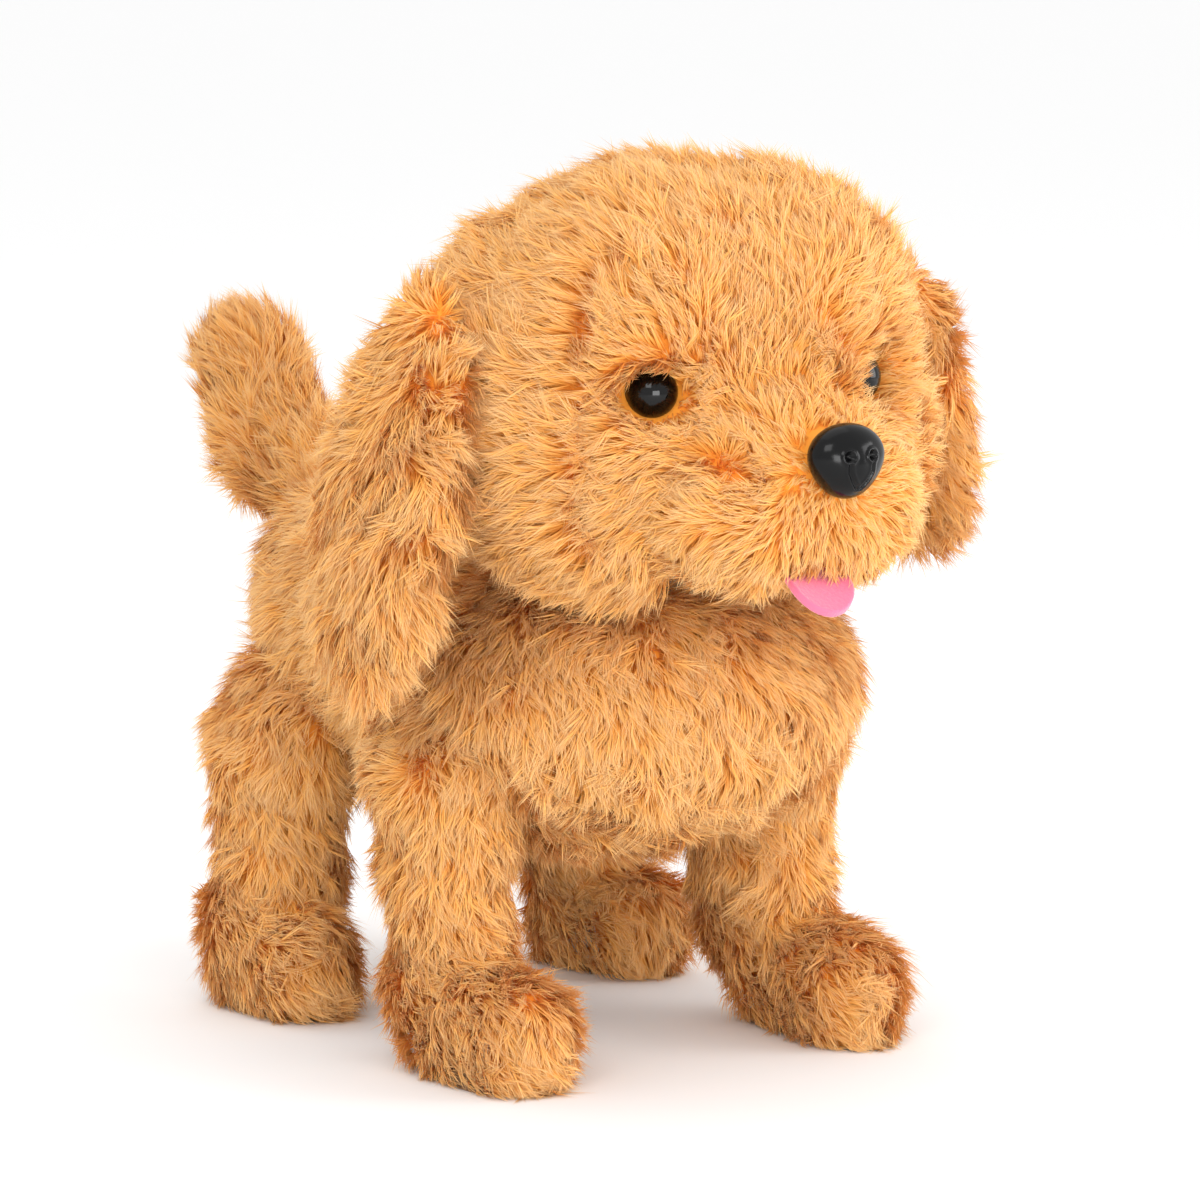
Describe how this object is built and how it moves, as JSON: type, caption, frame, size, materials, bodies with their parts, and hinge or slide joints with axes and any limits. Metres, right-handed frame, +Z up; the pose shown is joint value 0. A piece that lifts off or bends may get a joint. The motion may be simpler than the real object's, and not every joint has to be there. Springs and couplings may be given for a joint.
{
  "type": "walking plush puppy toy",
  "caption": "Battery walking plush puppy: swinging legs, nodding head, wagging tail, flapping ears, belly switch and battery door.",
  "frame": {"origin": "on the floor, under the middle of the puppy", "axes": "+Z up, the puppy faces -Y, its left side is +X"},
  "size_m": [0.1496, 0.2475, 0.187],
  "materials": {
    "plush": "long soft pile",
    "housing_plastic": "moulded, satin",
    "dark_plastic": "moulded, satin",
    "screw_steel": "zinc plated",
    "battery_sleeve": "printed sleeve",
    "spring_steel": "nickel plated",
    "motor_can": "zinc plated",
    "gear_plastic": "natural acetal",
    "axle_steel": "ground steel",
    "board_green": "solder mask",
    "speaker_paper": "pressed paper",
    "lead_sleeve": "soft sleeve",
    "frame_plastic": "moulded, satin",
    "washer_plastic": "natural nylon",
    "nose_plastic": "semi-gloss",
    "tongue_felt": "pressed felt",
    "eye_plastic": "polished dome",
    "sole_rubber": "matt"
  },
  "bodies": {
    "body": {"body_plush": "plush", "housing_left": "housing_plastic", "housing_right": "housing_plastic", "housing_screws": "screw_steel", "battery_box": "housing_plastic", "batteries": "battery_sleeve", "battery_contacts": "spring_steel", "switch_body": "dark_plastic", "motor": "motor_can", "gear_pins": "axle_steel", "gear_plate": "housing_plastic", "circuit_board": "board_green", "speaker_frame": "motor_can", "speaker_cone": "speaker_paper", "wire_leads": "lead_sleeve", "hip_axles": "axle_steel", "hip_clips": "spring_steel", "neck_post": "frame_plastic", "neck_pin": "axle_steel"},
    "motor_rotor": {"motor_pinion": "gear_plastic"},
    "gear_one": {"first_gear": "gear_plastic"},
    "gear_two": {"second_gear": "gear_plastic"},
    "crank": {"crankshaft": "axle_steel", "crank_gear": "gear_plastic", "crank_discs": "gear_plastic", "shaft_cams": "gear_plastic"},
    "link_left": {"side_link_left": "frame_plastic"},
    "link_right": {"side_link_right": "frame_plastic"},
    "tail": {"tail_plush": "plush", "tail_arm": "frame_plastic", "tail_lever": "frame_plastic"},
    "tail_push": {"tail_rod": "frame_plastic"},
    "nod_push": {"nod_rod": "frame_plastic"},
    "head": {"head_plush": "plush", "skull_left": "housing_plastic", "skull_right": "housing_plastic", "skull_screws": "screw_steel", "stem_washers": "washer_plastic", "nose": "nose_plastic", "tongue": "tongue_felt", "eye_left": "eye_plastic", "eye_right": "eye_plastic"},
    "ear_l": {"ear_left": "plush"},
    "ear_r": {"ear_right": "plush"},
    "door": {"battery_door": "dark_plastic", "door_screw": "screw_steel"},
    "knob": {"switch_knob": "dark_plastic"},
    "front_leg_left": {"front_frame_left": "frame_plastic", "front_leg_plush_left": "plush", "front_sole_left": "sole_rubber"},
    "front_leg_right": {"front_frame_right": "frame_plastic", "front_leg_plush_right": "plush", "front_sole_right": "sole_rubber"},
    "rear_leg_left": {"rear_frame_left": "frame_plastic", "rear_leg_plush_left": "plush", "rear_sole_left": "sole_rubber"},
    "rear_leg_right": {"rear_frame_right": "frame_plastic", "rear_leg_plush_right": "plush", "rear_sole_right": "sole_rubber"}
  },
  "joints": [
    {"name": "crank_spin", "type": "hinge", "parent": "body", "child": "crank", "pos_m": [0, -0.036, 0.078], "axis": [1, 0, 0], "continuous": true},
    {"name": "second_gear_spin", "type": "hinge", "parent": "body", "child": "gear_two", "pos_m": [0.013, -0.02424, 0.08039], "axis": [1, 0, 0], "continuous": true},
    {"name": "first_gear_spin", "type": "hinge", "parent": "body", "child": "gear_one", "pos_m": [0.011, -0.01224, 0.08039], "axis": [1, 0, 0], "continuous": true},
    {"name": "motor_spin", "type": "hinge", "parent": "body", "child": "motor_rotor", "pos_m": [0.01, -0.00024, 0.08039], "axis": [1, 0, 0], "continuous": true},
    {"name": "front_left_leg_swing", "type": "hinge", "parent": "body", "child": "front_leg_left", "pos_m": [0.041, -0.036, 0.06], "axis": [1, 0, 0], "range_deg": [-12, 12]},
    {"name": "front_right_leg_swing", "type": "hinge", "parent": "body", "child": "front_leg_right", "pos_m": [-0.041, -0.036, 0.06], "axis": [1, 0, 0], "range_deg": [-12, 12]},
    {"name": "rear_left_leg_swing", "type": "hinge", "parent": "body", "child": "rear_leg_left", "pos_m": [0.041, 0.038, 0.06], "axis": [1, 0, 0], "range_deg": [-12, 12]},
    {"name": "rear_right_leg_swing", "type": "hinge", "parent": "body", "child": "rear_leg_right", "pos_m": [-0.041, 0.038, 0.06], "axis": [1, 0, 0], "range_deg": [-12, 12]},
    {"name": "left_link_turn", "type": "hinge", "parent": "front_leg_left", "child": "link_left", "pos_m": [0.0243, -0.036, 0.0667], "axis": [1, 0, 0], "range_deg": [-12, 12]},
    {"name": "right_link_turn", "type": "hinge", "parent": "front_leg_right", "child": "link_right", "pos_m": [-0.0243, -0.036, 0.0667], "axis": [1, 0, 0], "range_deg": [-12, 12]},
    {"name": "tail_wag", "type": "hinge", "parent": "body", "child": "tail", "pos_m": [0, 0.055, 0.1], "axis": [0, 0, 1], "range_deg": [-18, 18]},
    {"name": "tail_rod_slide", "type": "slide", "parent": "body", "child": "tail_push", "axis": [0, 1, 0], "range_m": [-0.0016, 0.0016]},
    {"name": "head_nod", "type": "hinge", "parent": "body", "child": "head", "pos_m": [0, -0.056, 0.141], "axis": [1, 0, 0], "range_deg": [-7.5, 7.5]},
    {"name": "nod_rod_slide", "type": "slide", "parent": "body", "child": "nod_push", "axis": [0, 0, 1], "range_m": [-0.0016, 0.0016]},
    {"name": "left_ear_flap", "type": "hinge", "parent": "head", "child": "ear_l", "pos_m": [0.055, -0.057, 0.164], "axis": [0, -1, 0], "range_deg": [0, 40]},
    {"name": "right_ear_flap", "type": "hinge", "parent": "head", "child": "ear_r", "pos_m": [-0.055, -0.057, 0.164], "axis": [0, 1, 0], "range_deg": [0, 40]},
    {"name": "battery_door_swing", "type": "hinge", "parent": "body", "child": "door", "pos_m": [0, -0.0333, 0.0484], "axis": [-1, 0, 0], "range_deg": [0, 45]},
    {"name": "switch_slide", "type": "slide", "parent": "body", "child": "knob", "axis": [1, 0, 0], "range_m": [0, 0.003]}
  ],
  "couplings": [
    {"joint": "first_gear_spin", "follows": "motor_spin", "ratio": -0.33333},
    {"joint": "second_gear_spin", "follows": "motor_spin", "ratio": 0.11111},
    {"joint": "crank_spin", "follows": "motor_spin", "ratio": -0.037037},
    {"joint": "front_right_leg_swing", "follows": "front_left_leg_swing", "ratio": -1},
    {"joint": "rear_left_leg_swing", "follows": "front_left_leg_swing", "ratio": 1},
    {"joint": "rear_right_leg_swing", "follows": "front_left_leg_swing", "ratio": -1},
    {"joint": "left_link_turn", "follows": "front_left_leg_swing", "ratio": -1},
    {"joint": "right_link_turn", "follows": "front_left_leg_swing", "ratio": 1},
    {"joint": "tail_rod_slide", "follows": "tail_wag", "m_per_rad": -0.005},
    {"joint": "nod_rod_slide", "follows": "head_nod", "m_per_rad": 0.012}
  ]
}
